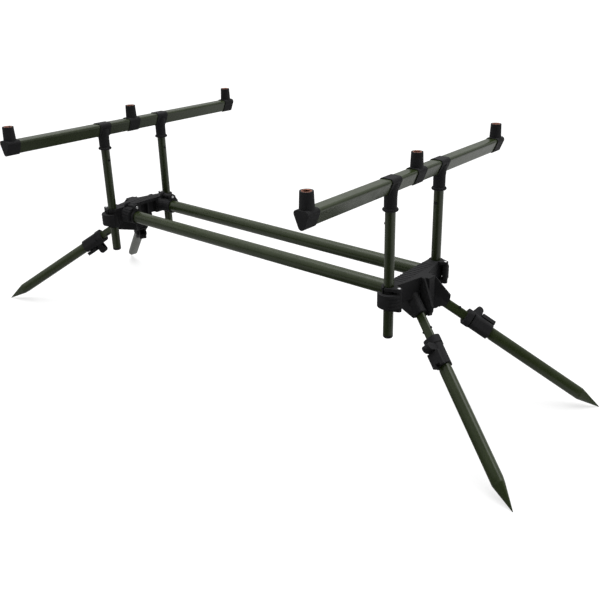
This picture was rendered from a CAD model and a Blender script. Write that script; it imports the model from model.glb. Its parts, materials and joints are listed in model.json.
"""Finishes, leg shapes and small turned pieces of a rod pod, on a plain white stage."""
import json
import math

import bpy
import numpy as np
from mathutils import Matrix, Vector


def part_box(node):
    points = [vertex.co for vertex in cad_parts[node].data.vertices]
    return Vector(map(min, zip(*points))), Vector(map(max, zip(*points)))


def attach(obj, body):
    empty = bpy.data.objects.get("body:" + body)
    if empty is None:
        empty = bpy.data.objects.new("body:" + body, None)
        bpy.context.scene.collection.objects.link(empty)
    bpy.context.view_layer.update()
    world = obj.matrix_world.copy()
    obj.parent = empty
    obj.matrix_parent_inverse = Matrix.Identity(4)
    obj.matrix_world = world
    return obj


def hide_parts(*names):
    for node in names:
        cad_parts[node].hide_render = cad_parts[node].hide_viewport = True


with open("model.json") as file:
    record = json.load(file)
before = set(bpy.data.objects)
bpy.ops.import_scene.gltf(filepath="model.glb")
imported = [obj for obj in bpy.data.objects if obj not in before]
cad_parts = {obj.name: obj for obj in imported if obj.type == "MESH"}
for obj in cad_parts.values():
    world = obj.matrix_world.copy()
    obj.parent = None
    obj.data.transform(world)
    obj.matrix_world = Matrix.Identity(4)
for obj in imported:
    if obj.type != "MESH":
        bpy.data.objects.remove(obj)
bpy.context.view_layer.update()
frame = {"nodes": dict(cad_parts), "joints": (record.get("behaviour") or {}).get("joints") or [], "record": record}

bl_info = {
    "name": "Rod pod",
    "version": (1, 0, 0),
    "blender": (4, 5, 0),
    "location": "View3D > Sidebar > Rod pod",
    "description": "Finishes and shaped pieces of a rod pod, and the stage that it stands on",
    "category": "Object",
}

JOINTS = {joint["name"]: joint for joint in frame["joints"]}
MOUNTS = {mount["name"]: mount for mount in frame["record"]["mounts"]}
SLOT_OF = {part["node"]: part["material_slot"] for part in frame["record"]["subparts"]}
ENDS = {"rear": "base", "front": "front_head"}
SIDES = ("left", "right")
MILLIMETRE = 0.001
FULL_TURN = 2 * math.pi
ROOT_3 = math.sqrt(3)

# Finishes: where along the noise two tones lie, and how the noise or the turn of a normal is mapped.
TONE_STOPS = (0.35, 0.7)
TARNISH_STOPS = (0.45, 0.75)
PAINT_RUB = {"low": 0.0, "high": 0.8, "start": 0.45, "end": 0.65}
PLASTIC_RUB = {"low": 0.1, "high": 0.7, "start": 0.4, "end": 0.7}
EDGE_TURN = {"low": 1.0, "high": 0.0, "start": 0.8, "end": 0.98}
EDGE_SAMPLES = 6
METAL_EDGE = 0.0002
TARNISH_SIZE = 0.003
MARK_DEPTH = 0.00002

# Shapes: how finely each is divided, and shares that close or divide them.
THREAD_COLUMNS = 48
ROWS_PER_TURN = 10
FLANK_SLOPE = 2.8
ARC_POINTS = 9
TUBE_ROWS = 60
TUBE_RIM = 0.05
FLAT_SWELL = 0.0003
SPIKE_SHARES = (0, 0.01, 0.1, 0.3, 0.5, 0.7, 0.85, 0.95, 1)
RIVET_COLUMNS = 32
DOME_ROWS = 9
DOME_CLOSE = 0.02
DOME_RIM = 0.2
OFF_AXIS = (0.3, 0.5, 0.8)

# Stage: what reflections see of the floor to the right and left, and how the surroundings fall off.
FLOOR_CELLS = 8
MIRRORED_RIGHT = {"low": 0.07, "high": 0.9, "start": 0.0, "end": 0.42}
MIRRORED_LEFT = {"low": 0.07, "high": 0.5, "start": 0.0, "end": 0.2}
HEADING_DIP = -0.1
DIM_TO_BRIGHT = {"start": -0.8, "end": -0.1}
LOW_TO_HIGH = {"low": 0.2, "high": 1.0, "start": 0.05, "end": 0.3}
WHITE = (1, 1, 1)
SENSOR_WIDTH = 36


class PaintSettings(bpy.types.PropertyGroup):
    """The green paint on the tubes, legs and bars."""

    colour: bpy.props.FloatVectorProperty(
        name="Colour", description="Colour of the paint where it is thickest",
        subtype="COLOR", size=3, min=0, max=1, default=(0.0215, 0.0325, 0.0080))
    thin_colour: bpy.props.FloatVectorProperty(
        name="Thin colour", description="Colour of the paint where it runs thin",
        subtype="COLOR", size=3, min=0, max=1, default=(0.0285, 0.041, 0.0125))
    edge_colour: bpy.props.FloatVectorProperty(
        name="Edge colour", description="Colour of the paint rubbed along edges",
        subtype="COLOR", size=3, min=0, max=1, default=(0.075, 0.086, 0.052))
    drift_size: bpy.props.FloatProperty(
        name="Drift size", description="Size of the soft drifts from thick to thin paint",
        unit="LENGTH", min=0.001, max=0.2, default=0.03)
    rub_size: bpy.props.FloatProperty(
        name="Rub size", description="Size of the rubbed spots along edges",
        unit="LENGTH", min=0.0005, max=0.05, default=0.004)
    sheen_size: bpy.props.FloatProperty(
        name="Sheen size", description="Size of the patches that differ in roughness",
        unit="LENGTH", min=0.0005, max=0.05, default=0.008)
    roughness: bpy.props.FloatVectorProperty(
        name="Roughness", description="Least and greatest roughness of the paint",
        size=2, min=0, max=1, default=(0.23, 0.33))
    shine: bpy.props.FloatProperty(
        name="Shine", description="Strength of the light that the paint mirrors",
        min=0, max=1, default=0.45)
    peel_size: bpy.props.FloatProperty(
        name="Peel size", description="Size of the orange peel in the paint",
        unit="LENGTH", min=0.0002, max=0.01, default=0.0016)
    peel_depth: bpy.props.FloatProperty(
        name="Peel depth", description="Depth of the orange peel in the paint",
        unit="LENGTH", min=0, max=0.001, default=0.00002)
    edge_radius: bpy.props.FloatProperty(
        name="Edge radius", description="Radius that the paint gives to an edge",
        unit="LENGTH", min=0, max=0.003, default=0.0003)


class LegSettings(bpy.types.PropertyGroup):
    """The outer tubes of the legs and their spikes."""

    bulge: bpy.props.FloatProperty(
        name="Bulge", description="How far the middle of a tube's side stands proud of its edges",
        unit="LENGTH", min=0.0001, max=0.002, default=0.0007)
    wall: bpy.props.FloatProperty(
        name="Wall", description="Wall of the tube under the lock",
        unit="LENGTH", min=0.0005, max=0.002, default=0.0011)
    fade: bpy.props.FloatProperty(
        name="Fade", description="Length over which the tube takes on its form at the lock and the spike",
        unit="LENGTH", min=0.001, max=0.05, default=0.006)
    stout: bpy.props.FloatProperty(
        name="Stoutness", description="How much the tube's corner radius grows below the lock",
        unit="LENGTH", min=0, max=0.002, default=0.0005)
    sag: bpy.props.FloatProperty(
        name="Sag", description="How far the section drops towards its lower side below the lock",
        unit="LENGTH", min=0, max=0.002, default=0.0005)
    longer: bpy.props.FloatProperty(
        name="Longer", description="How far the tube goes on past the CAD tube's end before the spike tapers",
        unit="LENGTH", min=0, max=0.005, default=0.002)
    blunt: bpy.props.FloatProperty(
        name="Blunt tip", description="Width of the spike's tip as a share of its base",
        min=0.01, max=0.3, default=0.05)


class PlasticSettings(bpy.types.PropertyGroup):
    """The black plastic of the mouldings."""

    colour: bpy.props.FloatVectorProperty(
        name="Colour", description="Colour of the plastic",
        subtype="COLOR", size=3, min=0, max=1, default=(0.018, 0.018, 0.0192))
    dusty_colour: bpy.props.FloatVectorProperty(
        name="Dusty colour", description="Colour of the plastic where its surface has gone dull",
        subtype="COLOR", size=3, min=0, max=1, default=(0.025, 0.025, 0.0262))
    edge_colour: bpy.props.FloatVectorProperty(
        name="Edge colour", description="Colour of the plastic rubbed along edges",
        subtype="COLOR", size=3, min=0, max=1, default=(0.045, 0.045, 0.048))
    dull_size: bpy.props.FloatProperty(
        name="Dull size", description="Size of the patches that have gone dull",
        unit="LENGTH", min=0.0005, max=0.05, default=0.012)
    rub_size: bpy.props.FloatProperty(
        name="Rub size", description="Size of the rubbed spots along edges",
        unit="LENGTH", min=0.0005, max=0.05, default=0.003)
    roughness: bpy.props.FloatVectorProperty(
        name="Roughness", description="Least and greatest roughness of the plastic",
        size=2, min=0, max=1, default=(0.6, 0.76))
    shine: bpy.props.FloatProperty(
        name="Shine", description="Strength of the light that the plastic mirrors",
        min=0, max=1, default=0.14)
    grain_size: bpy.props.FloatProperty(
        name="Grain size", description="Size of the moulded grain",
        unit="LENGTH", min=0.0001, max=0.005, default=0.0006)
    grain_depth: bpy.props.FloatProperty(
        name="Grain depth", description="Depth of the moulded grain",
        unit="LENGTH", min=0, max=0.001, default=0.00006)
    edge_radius: bpy.props.FloatProperty(
        name="Edge radius", description="Radius of the mouldings' edges",
        unit="LENGTH", min=0, max=0.003, default=0.0008)


class InsertSettings(bpy.types.PropertyGroup):
    """The threaded inserts that take a rod rest."""

    colour: bpy.props.FloatVectorProperty(
        name="Colour", description="Colour of the clean metal",
        subtype="COLOR", size=3, min=0, max=1, default=(0.38, 0.17, 0.115))
    dull_colour: bpy.props.FloatVectorProperty(
        name="Dull colour", description="Colour of the tarnished metal",
        subtype="COLOR", size=3, min=0, max=1, default=(0.19, 0.085, 0.06))
    roughness: bpy.props.FloatVectorProperty(
        name="Roughness", description="Least and greatest roughness of the metal",
        size=2, min=0, max=1, default=(0.42, 0.65))
    mark_size: bpy.props.FloatProperty(
        name="Mark size", description="Size of the tool marks",
        unit="LENGTH", min=0.0001, max=0.005, default=0.0008)
    mark_stretch: bpy.props.FloatVectorProperty(
        name="Mark stretch", description="How much closer the tool marks lie along each axis",
        size=3, min=0.1, max=20, default=(1, 1, 6))
    pitch: bpy.props.FloatProperty(
        name="Pitch", description="Pitch of the thread, twenty turns to the inch",
        unit="LENGTH", min=0.0008, max=0.003, default=0.00127)
    depth: bpy.props.FloatProperty(
        name="Depth", description="Depth of the thread outside its core",
        unit="LENGTH", min=0.0002, max=0.0012, default=0.0008)
    bevel: bpy.props.FloatProperty(
        name="Bevel", description="Bevel at the thread's mouth and round the rim",
        unit="LENGTH", min=0.0001, max=0.001, default=0.0006)


class PinSettings(bpy.types.PropertyGroup):
    """The steel lever pins and their riveted heads."""

    colour: bpy.props.FloatVectorProperty(
        name="Colour", description="Colour of the steel",
        subtype="COLOR", size=3, min=0, max=1, default=(0.66, 0.66, 0.67))
    dull_colour: bpy.props.FloatVectorProperty(
        name="Dull colour", description="Colour of the steel where it has gone dull",
        subtype="COLOR", size=3, min=0, max=1, default=(0.42, 0.42, 0.43))
    roughness: bpy.props.FloatVectorProperty(
        name="Roughness", description="Least and greatest roughness of the steel",
        size=2, min=0, max=1, default=(0.22, 0.4))
    mark_size: bpy.props.FloatProperty(
        name="Mark size", description="Size of the tool marks",
        unit="LENGTH", min=0.0001, max=0.005, default=0.0006)
    mark_stretch: bpy.props.FloatVectorProperty(
        name="Mark stretch", description="How much closer the tool marks lie along each axis",
        size=3, min=0.1, max=20, default=(1, 1, 1))
    head_radius: bpy.props.FloatProperty(
        name="Head radius", description="Radius of a riveted head",
        unit="LENGTH", min=0.0016, max=0.0036, default=0.0024)
    head_height: bpy.props.FloatProperty(
        name="Head height", description="Height of a riveted head",
        unit="LENGTH", min=0.0003, max=0.002, default=0.0009)


class StageSettings(bpy.types.PropertyGroup):
    """The floor, the light and the camera."""

    floor_colour: bpy.props.FloatVectorProperty(
        name="Floor colour", description="Colour of the floor",
        subtype="COLOR", size=3, min=0, max=1, default=(0.4, 0.4, 0.4))
    floor_glow: bpy.props.FloatProperty(
        name="Floor glow", description="White that the floor shows beside the light that falls on it",
        min=0, max=1, default=0.66)
    mirrored_turn: bpy.props.FloatProperty(
        name="Mirrored turn", description="Turn from the view to where reflections find the floor bright",
        subtype="ANGLE", min=-math.pi, max=math.pi, default=math.radians(70))
    floor_size: bpy.props.FloatProperty(
        name="Floor size", description="Half the side of the floor",
        unit="LENGTH", min=1, max=60, default=30)
    overhead_strength: bpy.props.FloatProperty(
        name="Overhead strength", description="Strength of the wide lamp overhead",
        min=0, max=10, default=2.2)
    overhead_spread: bpy.props.FloatProperty(
        name="Overhead spread", description="Angle over which the lamp's light is spread",
        subtype="ANGLE", min=0, max=math.pi, default=math.radians(65))
    overhead_tilt: bpy.props.FloatVectorProperty(
        name="Overhead tilt", description="Turn of the lamp about the three axes",
        subtype="EULER", unit="ROTATION", size=3, default=(math.radians(-4), math.radians(-3), 0.0))
    dim_side: bpy.props.FloatProperty(
        name="Dim side", description="Light of the surroundings on the viewer's side",
        min=0, max=1, default=0.06)
    bright_side: bpy.props.FloatProperty(
        name="Bright side", description="Light of the surroundings behind the pod",
        min=0, max=1, default=0.78)
    camera_place: bpy.props.FloatVectorProperty(
        name="Camera place", description="Place of the camera",
        subtype="TRANSLATION", unit="LENGTH", size=3, default=(0.75542, -0.79581, 0.56625))
    camera_turn: bpy.props.FloatVectorProperty(
        name="Camera turn", description="Turn of the camera about the three axes",
        subtype="EULER", unit="ROTATION", size=3,
        default=(math.radians(67.99), 0.0, math.radians(36.37)))
    lens: bpy.props.FloatProperty(
        name="Lens", description="Focal length of the camera in millimetres",
        min=20, max=120, default=46.4)
    shift: bpy.props.FloatVectorProperty(
        name="Shift", description="Shift of the camera's frame, as a share of its width",
        size=2, min=-0.5, max=0.5, default=(-0.0847, -0.0489))


class PodSettings(bpy.types.PropertyGroup):
    """All that can be set on the pod and its stage."""

    paint: bpy.props.PointerProperty(type=PaintSettings)
    leg: bpy.props.PointerProperty(type=LegSettings)
    plastic: bpy.props.PointerProperty(type=PlasticSettings)
    insert: bpy.props.PointerProperty(type=InsertSettings)
    pin: bpy.props.PointerProperty(type=PinSettings)
    stage: bpy.props.PointerProperty(type=StageSettings)


class Shader:
    """A node tree, with short calls to add and join its nodes."""

    def __init__(self, tree):
        self.tree = tree
        tree.nodes.clear()

    def add(self, kind, settings=None, **values):
        """A node of that kind. Settings are its own properties. Values are its sockets, with a low line for
        each space in a name: a number, a colour or an output."""
        made = self.tree.nodes.new(kind)
        for name, value in (settings or {}).items():
            setattr(made, name, value)
        for name, value in values.items():
            self.put(made, name.replace("_", " "), value)
        return made

    def put(self, made, name, value):
        """Sets one socket, found by its number or its name, or joins an output to it."""
        socket = made.inputs[name]
        if isinstance(value, bpy.types.NodeSocket):
            self.tree.links.new(value, socket)
        else:
            socket.default_value = value

    def join(self, kind, settings, *values):
        """A node of that kind, with values for its sockets in order."""
        made = self.add(kind, settings)
        for number, value in enumerate(values):
            self.put(made, number, value)
        return made.outputs


def opaque(colour):
    """A colour with full alpha, as a colour socket takes it."""
    return (*colour, 1.0)


def new_shader(name):
    """An empty material and its node tree."""
    material = bpy.data.materials.new(name)
    material.use_nodes = True
    return material, Shader(material.node_tree)


def patches(shader, size, detail=3.0, stretch=(1, 1, 1)):
    """Soft noise in patches of about that size, along the object's own axes."""
    place = shader.add("ShaderNodeTexCoord").outputs["Object"]
    mapping = shader.add("ShaderNodeMapping", Vector=place, Scale=stretch)
    return shader.add("ShaderNodeTexNoise", Vector=mapping.outputs["Vector"], Scale=1 / size,
                      Detail=detail).outputs["Fac"]


def ramp(shader, factor, colours, stops):
    """Colours laid along a factor at the given stops."""
    made = shader.add("ShaderNodeValToRGB", Fac=factor)
    for element, colour, stop in zip(made.color_ramp.elements, colours, stops):
        element.color = opaque(colour)
        element.position = stop
    return made.outputs["Color"]


def spread(shader, factor, low, high, start=0.3, end=0.7):
    """The factor, mapped from between start and end to between low and high."""
    return shader.add("ShaderNodeMapRange", Value=factor, From_Min=start, From_Max=end,
                      To_Min=low, To_Max=high).outputs["Result"]


def combine(shader, operation, a, b):
    """Two factors in one, such as their product or the larger of them."""
    return shader.join("ShaderNodeMath", {"operation": operation}, a, b)["Value"]


def dot(shader, a, b):
    """The dot product of two vectors."""
    return shader.join("ShaderNodeVectorMath", {"operation": "DOT_PRODUCT"}, a, b)["Value"]


def rounded(shader, radius):
    """The normal with its edges rounded to a radius."""
    return shader.add("ShaderNodeBevel", {"samples": EDGE_SAMPLES}, Radius=radius).outputs["Normal"]


def near_edge(shader, soft):
    """How near an edge a point is, from 0 to 1, by the turn of its rounded normal from the plain one."""
    plain = shader.add("ShaderNodeNewGeometry").outputs["Normal"]
    return spread(shader, dot(shader, soft, plain), **EDGE_TURN)


def over(shader, factor, below, above):
    """One colour over another, by a factor."""
    made = shader.add("ShaderNodeMix", {"data_type": "RGBA"}, Factor=factor)
    first, second = (socket for socket in made.inputs if socket.type == "RGBA")
    shader.tree.links.new(below, first)
    second.default_value = opaque(above)
    return next(socket for socket in made.outputs if socket.type == "RGBA")


def finish_shader(shader, normal, height, depth, **sockets):
    """The surface: a bump of the given depth over the normal, and the shader's sockets."""
    bump = shader.add("ShaderNodeBump", Height=height, Distance=depth, Strength=1.0, Normal=normal)
    surface = shader.add("ShaderNodeBsdfPrincipled", Normal=bump.outputs["Normal"], **sockets)
    shader.add("ShaderNodeOutputMaterial", Surface=surface.outputs["BSDF"])


def paint_material(settings):
    """Satin green paint: orange peel, soft drifts of colour, and edges rubbed lighter in places."""
    material, shader = new_shader("green_paint")
    normal = rounded(shader, settings.edge_radius)
    drift = patches(shader, settings.drift_size)
    base = ramp(shader, drift, (settings.colour, settings.thin_colour), TONE_STOPS)
    spots = spread(shader, patches(shader, settings.rub_size), **PAINT_RUB)
    rubbed = combine(shader, "MULTIPLY", near_edge(shader, normal), spots)
    finish_shader(shader, normal, patches(shader, settings.peel_size, detail=2.0), settings.peel_depth,
                  Base_Color=over(shader, rubbed, base, settings.edge_colour),
                  Roughness=spread(shader, patches(shader, settings.sheen_size), *settings.roughness),
                  Specular_IOR_Level=settings.shine)
    return material


def plastic_material(settings):
    """Black moulded plastic: a fine spark grain, dull patches and rubbed edges."""
    material, shader = new_shader("black_plastic")
    normal = rounded(shader, settings.edge_radius)
    dull = patches(shader, settings.dull_size)
    base = ramp(shader, dull, (settings.colour, settings.dusty_colour), TONE_STOPS)
    spots = spread(shader, patches(shader, settings.rub_size), **PLASTIC_RUB)
    rubbed = combine(shader, "MULTIPLY", near_edge(shader, normal), spots)
    finish_shader(shader, normal, patches(shader, settings.grain_size, detail=4.0), settings.grain_depth,
                  Base_Color=over(shader, rubbed, base, settings.edge_colour),
                  Roughness=spread(shader, dull, *settings.roughness),
                  Specular_IOR_Level=settings.shine)
    return material


def metal_material(name, settings):
    """Turned metal: tarnish in patches and fine tool marks, whose size and direction are given."""
    material, shader = new_shader(name)
    tarnish = patches(shader, TARNISH_SIZE)
    marks = patches(shader, settings.mark_size, detail=2.0, stretch=settings.mark_stretch)
    finish_shader(shader, rounded(shader, METAL_EDGE), marks, MARK_DEPTH,
                  Base_Color=ramp(shader, tarnish, (settings.colour, settings.dull_colour), TARNISH_STOPS),
                  Metallic=1.0,
                  Roughness=spread(shader, tarnish, *settings.roughness))
    return material


def dress(slot, material):
    """Gives the material to the CAD nodes of one of the record's material slots."""
    for name in sorted(name for name, own in SLOT_OF.items() if own == slot):
        mesh = frame["nodes"][name].data
        mesh.materials.clear()
        mesh.materials.append(material)


def ring_faces(rows, columns, closed_rows):
    """Quads over a grid of rows and columns, numbered row by row. Columns always close, and rows only
    where asked."""
    last = rows if closed_rows else rows - 1
    i, j = np.meshgrid(np.arange(last), np.arange(columns), indexing="ij")
    below, next_column = (i + 1) % rows, (j + 1) % columns
    corners = (i * columns + j, i * columns + next_column,
               below * columns + next_column, below * columns + j)
    return np.stack(corners, axis=-1).reshape(-1, 4)


def end_fans(rows, columns):
    """Triangles that close a grid's first and last row, each from a centre point after the grid's own."""
    here = np.arange(columns)
    after = (here + 1) % columns
    count, last = rows * columns, (rows - 1) * columns
    return np.concatenate([np.stack([np.full(columns, count), after, here], axis=-1),
                           np.stack([np.full(columns, count + 1), here + last, after + last], axis=-1)])


def around_axis(axis, columns):
    """Directions square to an axis, all round it."""
    turn = np.linspace(0, FULL_TURN, columns, endpoint=False)
    first = np.cross(axis, OFF_AXIS)
    first /= np.linalg.norm(first)
    return np.cos(turn)[:, None] * first + np.sin(turn)[:, None] * np.cross(axis, first)


def piece(name, parts, material, body):
    """One mesh object of several parts, each a pair of points and faces, that rides on a body."""
    counts = np.cumsum([0] + [len(points) for points, _ in parts])
    points = np.concatenate([part[0] for part in parts])
    faces = [tuple(face + start) for (_, part), start in zip(parts, counts) for face in part]
    mesh = bpy.data.meshes.new(name)
    mesh.from_pydata(points.tolist(), [], faces)
    mesh.polygons.foreach_set("use_smooth", np.ones(len(mesh.polygons), bool))
    mesh.materials.append(material)
    mesh.update()
    made = bpy.data.objects.new(name, mesh)
    bpy.context.scene.collection.objects.link(made)
    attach(made, body)
    return made


def threaded_insert(centre, low, high, radius, core, settings):
    """A threaded sleeve as points and faces. A closed profile runs up the outside, over a bevelled rim, down
    the bore and back. Carried round the axis, its radius in the bore is the core's plus a share of the depth.
    That share rises and falls along height less one pitch for each turn, which makes the groove a screw."""
    around = np.linspace(0, FULL_TURN, THREAD_COLUMNS, endpoint=False)
    bevel = settings.bevel
    turns = int((high - low) / settings.pitch)
    bore = np.linspace(high - bevel, low, ROWS_PER_TURN * turns)
    outside = np.array([(radius, low), (radius, high - bevel / 2), (radius - bevel / 2, high),
                        (core + bevel, high)])
    reach = np.concatenate([outside[:, 0], np.full(len(bore), core)])
    height = np.concatenate([outside[:, 1], bore])
    threaded = np.concatenate([np.zeros(len(outside)), np.clip((high - bevel - bore) / bevel, 0, 1)])
    threaded[-1] = 0
    phase = (height[:, None] / settings.pitch - around / FULL_TURN) % 1
    groove = np.clip(FLANK_SLOPE * (0.5 - np.abs(phase - 0.5)), 0, 1)
    r = reach[:, None] + settings.depth * threaded[:, None] * groove
    points = np.stack([centre[0] + r * np.cos(around), centre[1] + r * np.sin(around),
                       np.broadcast_to(height[:, None], r.shape)], axis=-1)
    return points.reshape(-1, 3), ring_faces(len(height), len(around), True)[:, ::-1]


def reach_along(name, axis):
    """How far a CAD node goes against and along a direction."""
    node = frame["nodes"][name]
    along = [axis @ (node.matrix_world @ vertex.co) for vertex in node.data.vertices]
    return min(along), max(along)


def three_sided(side, radius, swell):
    """Points round a three-sided section, as complex numbers whose real part lies along its first side's
    normal. A corner is an arc of the given radius round one end of a side. A side is an arc too, which turns
    by the swell angle to either hand of its middle and meets the corners without a break: its own radius is
    half the side over the sine of the swell, plus theirs."""
    reach = side / 2 / math.sin(swell)
    middle = side / 2 / ROOT_3 - reach * math.cos(swell)
    across = np.linspace(-swell, swell, ARC_POINTS)[1:-1]
    half_corner = FULL_TURN / 6 - swell
    round_corner = np.linspace(-half_corner, half_corner, ARC_POINTS)
    points = []
    for turn in np.arange(3) * FULL_TURN / 3:
        corner = turn + FULL_TURN / 6
        points.append(middle * np.exp(1j * turn) + (reach + radius) * np.exp(1j * (turn + across)))
        points.append(side / ROOT_3 * np.exp(1j * corner) + radius * np.exp(1j * (corner + round_corner)))
    return np.concatenate(points)


def smooth_step(share):
    """Rises from 0 to 1 with the share, level at both ends."""
    share = np.clip(share, 0, 1)
    return share * share * (3 - 2 * share)


class LegTube:
    """Where a leg's outer tube lies: its axis, the point of its centre line nearest the origin, its lower
    side's normal and the direction square to both, and the side and corner radius of its section. Both sizes
    follow from how far the CAD tube goes along its sides' normals, and against them."""

    def __init__(self, corner):
        node = f"{corner}_outer_leg"
        self.axis = np.array(JOINTS[f"{corner}_leg_slide"]["axis"])
        first = self.axis * self.axis[2] - (0, 0, 1)
        self.first = first / np.linalg.norm(first)
        self.second = np.cross(self.axis, self.first)
        turns = np.arange(3) * FULL_TURN / 3
        normals = np.cos(turns)[:, None] * self.first + np.sin(turns)[:, None] * self.second
        against, along = np.array([reach_along(node, normal) for normal in normals]).T
        self.centre = 2 / 3 * along @ normals
        self.side = (-against.mean() - along.mean()) * 2 * ROOT_3
        self.radius = along.mean() - self.side / 2 / ROOT_3
        self.start, self.end = reach_along(node, self.axis)

    def section(self, grown, swell):
        """The tube's section with its corner radius grown and its sides swollen."""
        return three_sided(self.side, self.radius + grown, max(swell, FLAT_SWELL))

    def carry(self, rows, along):
        """Rows of section points at their places along the leg."""
        return (self.centre + np.array(along)[:, None, None] * self.axis
                + rows.real[:, :, None] * self.first + rows.imag[:, :, None] * self.second)


def bulged_tube(corner, settings):
    """A leg's outer tube as points and faces. The CAD tube's section is carried along the leg. Below the lock
    it grows stouter and drops by a smooth step over the fading length, and its sides swell to the full bulge
    the same way, to flatten again before the spike. The bore stays flat."""
    tube = LegTube(corner)
    end = tube.end + settings.longer
    free = reach_along(f"{corner}_leg_lock", tube.axis)[1]
    rim = TUBE_RIM * settings.fade
    along = np.array([tube.start, tube.start + rim, *np.linspace(free, end - rim, TUBE_ROWS), end])
    below = smooth_step((along - free) / settings.fade)
    rise = settings.bulge * below * smooth_step((end - along) / settings.fade)
    swell = 2 * np.arctan(2 * rise / tube.side)
    rows = [settings.sag * share + tube.section(settings.stout * share, angle)
            for share, angle in zip(below, swell)]
    bore = tube.section(-settings.wall, FLAT_SWELL)
    rows = np.array([*rows, bore, bore])
    return tube.carry(rows, [*along, end, tube.start]).reshape(-1, 3), ring_faces(*rows.shape, True)


def pointed_end(corner, settings):
    """A leg's spike as points and faces. The tube's end section shrinks in proportion from the tube's end to
    the tip, where a small blunt end is left. A fan closes the base, and another the tip."""
    tube = LegTube(corner)
    base = tube.end + settings.longer
    tip = reach_along(f"{corner}_spike", tube.axis)[1]
    section = settings.sag + tube.section(settings.stout, FLAT_SWELL)
    share = np.array(SPIKE_SHARES)
    rows = (1 - (1 - settings.blunt) * share)[:, None] * section
    points = tube.carry(rows, base + (tip - base) * share)
    centres = points[[0, -1]].mean(axis=1)
    return (np.concatenate([points.reshape(-1, 3), centres]),
            [*ring_faces(*rows.shape, False), *end_fans(*rows.shape)])


def riveted_head(centre, axis, radius, height):
    """A riveted pin head as points and faces: a flat foot and a dome whose radius falls with the cosine and
    whose height grows with the sine of an angle from rim to crown, carried round the pin's axis."""
    rise = np.linspace(0, FULL_TURN / 4, DOME_ROWS)[:-1]
    reach = radius * np.array([DOME_CLOSE, 1, *np.cos(rise), DOME_CLOSE])
    along = height * np.array([0, 0, *(DOME_RIM + (1 - DOME_RIM) * np.sin(rise)), 1])
    circle = around_axis(axis, RIVET_COLUMNS)
    points = np.array(centre) + reach[:, None, None] * circle + along[:, None, None] * np.array(axis)
    rows, columns = points.shape[:2]
    crown = np.arange((rows - 1) * columns, rows * columns)
    foot = np.arange(columns)[::-1]
    return points.reshape(-1, 3), [*ring_faces(rows, columns, False), crown, foot]


def lies_along(shader, place, heading):
    """How far a place or direction lies along a heading, which dips a little below level."""
    return dot(shader, place, (-math.sin(heading), math.cos(heading), HEADING_DIP))


def seen_by(shader):
    """1 for what the camera sees, straight or through something clear, and 1 for what a reflection sees."""
    path = shader.add("ShaderNodeLightPath").outputs
    straight = combine(shader, "MAXIMUM", path["Is Camera Ray"], path["Is Transmission Ray"])
    return straight, path["Is Glossy Ray"]


def floor_material(settings):
    """A floor that takes the pod's shadow and glows white to the camera. Reflections see it bright to the
    right of the view, less so to the left, and dim between."""
    material, shader = new_shader("floor_sheet")
    straight, glossy = seen_by(shader)
    glow = combine(shader, "MULTIPLY", straight, settings.floor_glow)
    white = shader.add("ShaderNodeEmission", Strength=glow).outputs["Emission"]
    sheet = shader.add("ShaderNodeBsdfDiffuse", Color=opaque(settings.floor_colour)).outputs["BSDF"]
    lit = shader.join("ShaderNodeAddShader", {}, white, sheet)["Shader"]
    place = shader.add("ShaderNodeTexCoord").outputs["Object"]
    view = settings.camera_turn[2]
    rightward = lies_along(shader, place, view - settings.mirrored_turn)
    leftward = lies_along(shader, place, view + settings.mirrored_turn)
    bright = combine(shader, "MAXIMUM", spread(shader, rightward, **MIRRORED_RIGHT),
                     spread(shader, leftward, **MIRRORED_LEFT))
    mirrored = shader.add("ShaderNodeEmission", Strength=bright).outputs["Emission"]
    surface = shader.join("ShaderNodeMixShader", {}, glossy, lit, mirrored)["Shader"]
    shader.add("ShaderNodeOutputMaterial", Surface=surface)
    return material


def lay_floor(settings):
    """A flat floor: a grid of two parameters at height zero."""
    count = FLOOR_CELLS + 1
    side = np.linspace(-settings.floor_size, settings.floor_size, count)
    x, y = np.meshgrid(side, side, indexing="ij")
    points = np.stack([x, y, np.zeros_like(x)], axis=-1).reshape(-1, 3)
    i, j = np.meshgrid(np.arange(FLOOR_CELLS), np.arange(FLOOR_CELLS), indexing="ij")
    corner = i * count + j
    faces = np.stack([corner, corner + count, corner + count + 1, corner + 1], axis=-1).reshape(-1, 4)
    mesh = bpy.data.meshes.new("floor")
    mesh.from_pydata(points.tolist(), [], faces.tolist())
    mesh.materials.append(floor_material(settings))
    floor = bpy.data.objects.new("floor", mesh)
    bpy.context.scene.collection.objects.link(floor)


def light_surroundings(settings):
    """Pale surroundings: white to the camera, and as light bright behind the pod, dim before it and near
    the horizon."""
    world = bpy.data.worlds.new("surroundings")
    world.use_nodes = True
    bpy.context.scene.world = world
    shader = Shader(world.node_tree)
    direction = shader.add("ShaderNodeTexCoord").outputs["Generated"]
    height = shader.add("ShaderNodeSeparateXYZ", Vector=direction).outputs["Z"]
    light = combine(shader, "MULTIPLY",
                    spread(shader, lies_along(shader, direction, settings.camera_turn[2]),
                           settings.dim_side, settings.bright_side, **DIM_TO_BRIGHT),
                    spread(shader, height, **LOW_TO_HIGH))
    straight, _ = seen_by(shader)
    strength = shader.add("ShaderNodeMix", {"data_type": "FLOAT"}, Factor=straight, A=light, B=1.0)
    background = shader.add("ShaderNodeBackground", Color=opaque(WHITE), Strength=strength.outputs["Result"])
    shader.add("ShaderNodeOutputWorld", Surface=background.outputs["Background"])


def hang_lamp(settings):
    """A wide soft lamp overhead, tilted a little."""
    data = bpy.data.lights.new("overhead", "SUN")
    data.angle = settings.overhead_spread
    data.energy = settings.overhead_strength
    lamp = bpy.data.objects.new("overhead", data)
    lamp.rotation_euler = settings.overhead_tilt
    bpy.context.scene.collection.objects.link(lamp)


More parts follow.
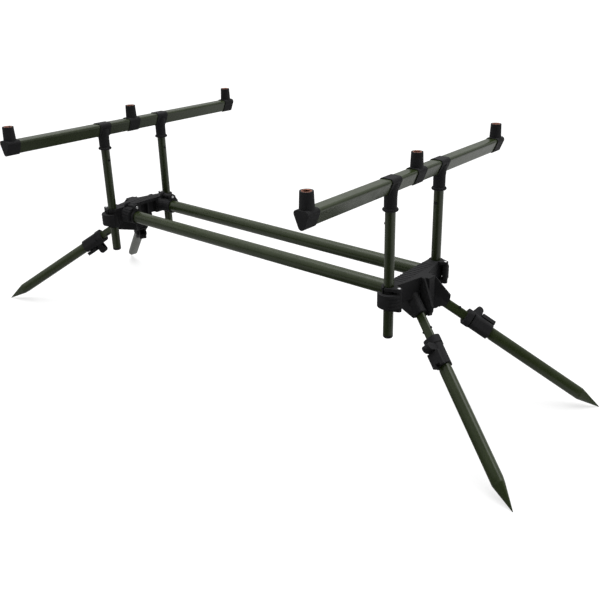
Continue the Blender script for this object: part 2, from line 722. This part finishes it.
def set_camera(settings):
    """The camera, at its place and turn, with its lens and shift."""
    data = bpy.data.cameras.new("camera")
    data.sensor_width = SENSOR_WIDTH
    data.lens = settings.lens
    data.shift_x, data.shift_y = settings.shift
    camera = bpy.data.objects.new("camera", data)
    camera.location = settings.camera_place
    camera.rotation_euler = settings.camera_turn
    bpy.context.scene.collection.objects.link(camera)
    bpy.context.scene.camera = camera


class POD_OT_paint(bpy.types.Operator):
    """Paints the tubes, legs, spikes and bars."""

    bl_idname = "rod_pod.paint"
    bl_label = "Paint the tubes"

    def execute(self, context):
        dress("olive_paint", paint_material(context.scene.rod_pod.paint))
        return {"FINISHED"}


class POD_OT_legs(bpy.types.Operator):
    """Gives the legs' outer tubes slightly bulged sides, and their spikes a taper from the whole section."""

    bl_idname = "rod_pod.legs"
    bl_label = "Shape the legs"

    def execute(self, context):
        settings = context.scene.rod_pod.leg
        for corner in (f"{end}_{side}" for end in ENDS for side in SIDES):
            for name, shape, own in (("leg_tube", bulged_tube, "outer_leg"),
                                     ("leg_point", pointed_end, "spike")):
                node = f"{corner}_{own}"
                paint = frame["nodes"][node].data.materials[0]
                made = piece(f"{corner}_{name}", [shape(corner, settings)], paint, f"{corner}_lower_leg")
                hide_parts(node)
        return {"FINISHED"}


class POD_OT_plastic(bpy.types.Operator):
    """Gives the mouldings their black plastic."""

    bl_idname = "rod_pod.plastic"
    bl_label = "Finish the mouldings"

    def execute(self, context):
        dress("black_plastic", plastic_material(context.scene.rod_pod.plastic))
        return {"FINISHED"}


class POD_OT_inserts(bpy.types.Operator):
    """Cuts the threads in the inserts."""

    bl_idname = "rod_pod.inserts"
    bl_label = "Thread the inserts"

    def execute(self, context):
        settings = context.scene.rod_pod.insert
        metal = metal_material("copper_insert", settings)
        for end in ENDS:
            node = f"{end}_inserts"
            low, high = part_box(node)
            parts = []
            for place in ("left", "centre", "right"):
                mount = MOUNTS[f"{end}_{place}_rod_thread"]
                parts.append(threaded_insert(mount["pos_m"], low.z, high.z, (high.x - low.x) / 2,
                                             mount["dims"]["r_mm"] * MILLIMETRE, settings))
            made = piece(f"{end}_threads", parts, metal, f"{end}_bar")
            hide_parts(node)
        return {"FINISHED"}


class POD_OT_pins(bpy.types.Operator):
    """Polishes the lever pins and rivets their heads."""

    bl_idname = "rod_pod.pins"
    bl_label = "Rivet the pins"

    def execute(self, context):
        settings = context.scene.rod_pod.pin
        metal = metal_material("pin_steel", settings)
        dress("steel", metal)
        low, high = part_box("rear_lever_pins")
        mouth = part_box("front_lever_pins")[1].x
        size = (settings.head_radius, settings.head_height)
        for end, body in ENDS.items():
            heads = []
            for side in SIDES:
                x, y, _ = JOINTS[f"{end}_{side}_upright_lever_turn"]["pos_m"]
                heads.append(riveted_head((x, y, high.z), (0, 0, 1), *size))
                heads.append(riveted_head((x, y, low.z), (0, 0, -1), *size))
                if end == "front":
                    _, y, z = JOINTS[f"{side}_body_lever_turn"]["pos_m"]
                    heads.append(riveted_head((mouth, y, z), (1, 0, 0), *size))
            piece(f"{end}_pin_heads", heads, metal, body)
        return {"FINISHED"}


class POD_OT_stage(bpy.types.Operator):
    """Lays the floor, hangs the lamp and sets the camera."""

    bl_idname = "rod_pod.stage"
    bl_label = "Set the stage"

    def execute(self, context):
        settings = context.scene.rod_pod.stage
        lay_floor(settings)
        light_surroundings(settings)
        hang_lamp(settings)
        set_camera(settings)
        context.scene.view_settings.view_transform = "Standard"
        return {"FINISHED"}


class POD_PT_panel(bpy.types.Panel):
    """Lists the steps in the sidebar, with what can be set for each."""

    bl_idname = "POD_PT_panel"
    bl_label = "Rod pod"
    bl_space_type = "VIEW_3D"
    bl_region_type = "UI"
    bl_category = "Rod pod"

    def draw(self, context):
        for name, operator in STEPS.items():
            box = self.layout.box()
            settings = getattr(context.scene.rod_pod, name)
            for key in settings.__annotations__:
                box.prop(settings, key)
            box.operator(operator.bl_idname)


STEPS = {
    "paint": POD_OT_paint,
    "leg": POD_OT_legs,
    "plastic": POD_OT_plastic,
    "insert": POD_OT_inserts,
    "pin": POD_OT_pins,
    "stage": POD_OT_stage,
}
CLASSES = (PaintSettings, LegSettings, PlasticSettings, InsertSettings, PinSettings, StageSettings,
           PodSettings, *STEPS.values(), POD_PT_panel)


def register():
    for made in CLASSES:
        bpy.utils.register_class(made)
    bpy.types.Scene.rod_pod = bpy.props.PointerProperty(type=PodSettings)


def unregister():
    del bpy.types.Scene.rod_pod
    for made in reversed(CLASSES):
        bpy.utils.unregister_class(made)


def main():
    register()
    bpy.ops.rod_pod.paint()
    bpy.ops.rod_pod.legs()
    bpy.ops.rod_pod.plastic()
    bpy.ops.rod_pod.inserts()
    bpy.ops.rod_pod.pins()
    bpy.ops.rod_pod.stage()


if __name__ == "__main__":
    main()
